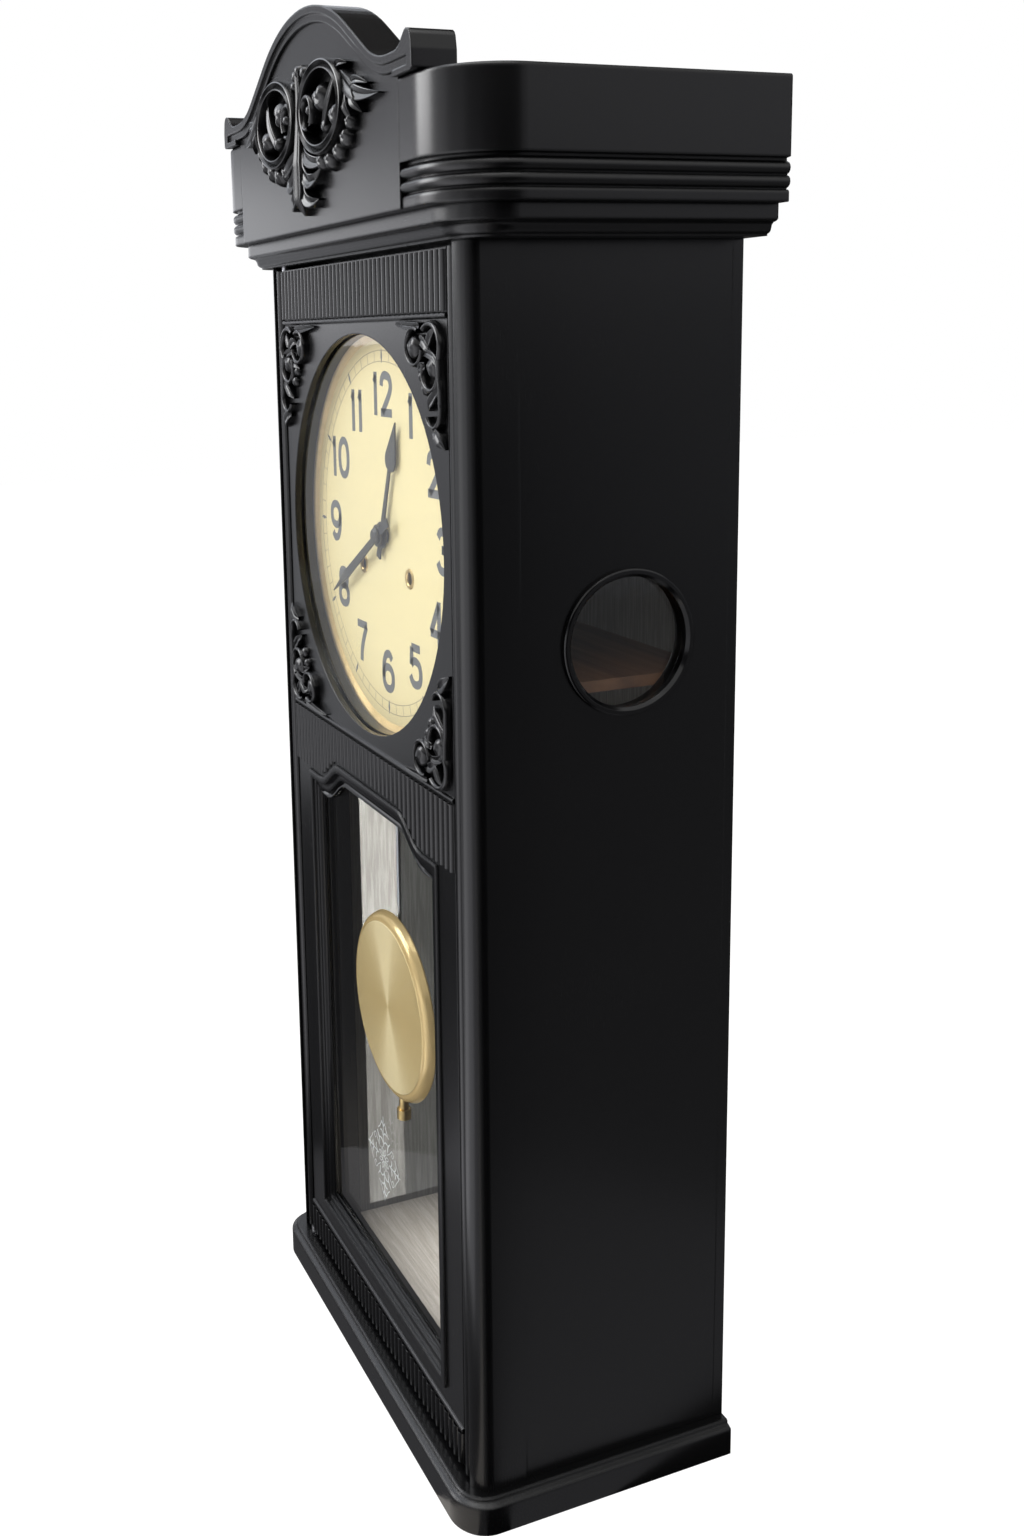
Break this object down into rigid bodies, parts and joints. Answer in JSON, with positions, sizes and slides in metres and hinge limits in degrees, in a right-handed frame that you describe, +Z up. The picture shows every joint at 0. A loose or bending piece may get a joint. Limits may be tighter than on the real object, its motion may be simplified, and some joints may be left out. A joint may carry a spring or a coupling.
{
  "type": "pendulum clock",
  "caption": "Tall wall clock with a carved arched pediment, glazed door, round dial, pendulum, and a wound striking movement in a lacquered case.",
  "frame": {"origin": "bottom centre of the bounding box, on the plinth underside", "axes": "+Z up, the dial faces -Y, +X to the right of someone who looks at the dial"},
  "size_m": [0.349, 0.183, 0.793],
  "materials": {
    "lacquer": "satin black lacquer over wood",
    "steel": "plain steel",
    "glass": "clear window glass",
    "brass": "polished and lacquered brass",
    "hand_grey": "dark grey paint",
    "dial_enamel": "cream paint, gloss",
    "brown_wood": "brown varnish"
  },
  "bodies": {
    "case": {"plinth": "lacquer", "back_board": "lacquer", "side_board_left": "lacquer", "side_board_right": "lacquer", "corner_post_left": "lacquer", "corner_post_right": "lacquer", "top_board": "lacquer", "face_frame": "lacquer", "cornice": "lacquer", "crown_side_left": "lacquer", "crown_side_right": "lacquer", "crown_back_rail": "lacquer", "dust_board": "lacquer", "pediment_board": "lacquer", "arch_moulding": "lacquer", "pediment_carving": "lacquer", "side_ring_left": "lacquer", "side_ring_right": "lacquer", "wall_hanger": "steel", "plate_pillars": "steel", "gong_coil": "steel", "gong_block": "steel", "side_glass_left": "glass", "side_glass_right": "glass", "door_catch": "brass", "dial_ring": "brass", "winding_grommets": "brass", "front_plate": "brass", "back_plate": "brass", "pendulum_cock": "brass", "dial": "dial_enamel", "seat_board": "brown_wood"},
    "door": {"door_frame": "lacquer", "door_reeds": "lacquer", "door_carvings": "lacquer", "window_moulding": "lacquer", "window_glass": "glass", "dial_glass": "glass", "dial_glass_ring": "lacquer", "door_pivot_pins": "steel", "catch_stud": "brass"},
    "hour_hand": {"hour_hand": "hand_grey"},
    "minute_hand": {"minute_hand": "hand_grey", "hand_nut": "hand_grey"},
    "minute_wheel": {"minute_wheel": "brass"},
    "time_barrel": {"time_barrel": "brass"},
    "strike_barrel": {"strike_barrel": "brass"},
    "time_arbor": {"time_arbor": "steel"},
    "strike_arbor": {"strike_arbor": "steel"},
    "centre_wheel": {"centre_wheel": "brass"},
    "third_wheel": {"third_wheel": "brass"},
    "escape_wheel": {"escape_wheel": "brass"},
    "pallets": {"pallets_and_crutch": "steel"},
    "pin_wheel": {"pin_wheel": "brass"},
    "fly": {"fly": "steel"},
    "hammer": {"hammer": "steel"},
    "pendulum": {"pendulum_rod": "steel", "pendulum_bob": "brass", "suspension_spring": "steel"},
    "rating_nut": {"rating_nut": "brass"}
  },
  "joints": [
    {"name": "door_hinge", "type": "hinge", "parent": "case", "child": "door", "pos_m": [-0.1225, -0.0575, 0.02], "axis": [0, 0, -1], "range_deg": [0, 105]},
    {"name": "minute_hand_turn", "type": "hinge", "parent": "case", "child": "minute_hand", "pos_m": [0, -0.029, 0.5155], "axis": [0, 1, 0], "continuous": true},
    {"name": "hour_hand_turn", "type": "hinge", "parent": "case", "child": "hour_hand", "pos_m": [0, -0.029, 0.5155], "axis": [0, 1, 0], "continuous": true},
    {"name": "minute_wheel_turn", "type": "hinge", "parent": "case", "child": "minute_wheel", "pos_m": [0, -0.029, 0.4939], "axis": [0, 1, 0], "continuous": true},
    {"name": "escape_wheel_turn", "type": "hinge", "parent": "case", "child": "escape_wheel", "pos_m": [0, -0.029, 0.54326], "axis": [0, 1, 0], "continuous": true},
    {"name": "third_wheel_turn", "type": "hinge", "parent": "case", "child": "third_wheel", "pos_m": [0.01907, -0.029, 0.5304], "axis": [0, 1, 0], "continuous": true},
    {"name": "centre_wheel_turn", "type": "hinge", "parent": "case", "child": "centre_wheel", "pos_m": [0, -0.029, 0.5155], "axis": [0, 1, 0], "continuous": true},
    {"name": "time_barrel_turn", "type": "hinge", "parent": "case", "child": "time_barrel", "pos_m": [0.0335, -0.029, 0.49514], "axis": [0, 1, 0], "continuous": true},
    {"name": "time_winding", "type": "hinge", "parent": "case", "child": "time_arbor", "pos_m": [0.0335, -0.029, 0.49514], "axis": [0, 1, 0], "continuous": true},
    {"name": "strike_winding", "type": "hinge", "parent": "case", "child": "strike_arbor", "pos_m": [-0.0335, -0.029, 0.49514], "axis": [0, 1, 0], "continuous": true},
    {"name": "fly_turn", "type": "hinge", "parent": "case", "child": "fly", "pos_m": [-0.02975, -0.029, 0.54792], "axis": [0, 1, 0], "continuous": true},
    {"name": "pin_wheel_turn", "type": "hinge", "parent": "case", "child": "pin_wheel", "pos_m": [-0.03975, -0.029, 0.5306], "axis": [0, 1, 0], "continuous": true},
    {"name": "strike_barrel_turn", "type": "hinge", "parent": "case", "child": "strike_barrel", "pos_m": [-0.0335, -0.029, 0.49514], "axis": [0, 1, 0], "continuous": true},
    {"name": "hammer_lift", "type": "hinge", "parent": "case", "child": "hammer", "pos_m": [-0.008, -0.029, 0.4715], "axis": [0, 1, 0], "range_deg": [-2.2, 18]},
    {"name": "pendulum_swing", "type": "hinge", "parent": "case", "child": "pendulum", "pos_m": [0, -0.0415, 0.56314], "axis": [0, 1, 0], "range_deg": [-3.5, 3.5]},
    {"name": "pallet_rock", "type": "hinge", "parent": "case", "child": "pallets", "pos_m": [0, -0.0415, 0.56314], "axis": [0, 1, 0], "range_deg": [-3.5, 3.5]},
    {"name": "rating_nut_turn", "type": "hinge", "parent": "pendulum", "child": "rating_nut", "pos_m": [0, -0.0415, 0.1675], "axis": [0, 0, 1], "continuous": true}
  ],
  "couplings": [
    {"joint": "hour_hand_turn", "follows": "minute_hand_turn", "ratio": 0.083333},
    {"joint": "minute_wheel_turn", "follows": "minute_hand_turn", "ratio": -0.33333},
    {"joint": "third_wheel_turn", "follows": "escape_wheel_turn", "ratio": -0.095238},
    {"joint": "centre_wheel_turn", "follows": "escape_wheel_turn", "ratio": 0.0095238},
    {"joint": "time_barrel_turn", "follows": "escape_wheel_turn", "ratio": -0.002442},
    {"joint": "pin_wheel_turn", "follows": "fly_turn", "ratio": -0.11111},
    {"joint": "strike_barrel_turn", "follows": "fly_turn", "ratio": 0.017094},
    {"joint": "pallet_rock", "follows": "pendulum_swing", "ratio": 1}
  ]
}
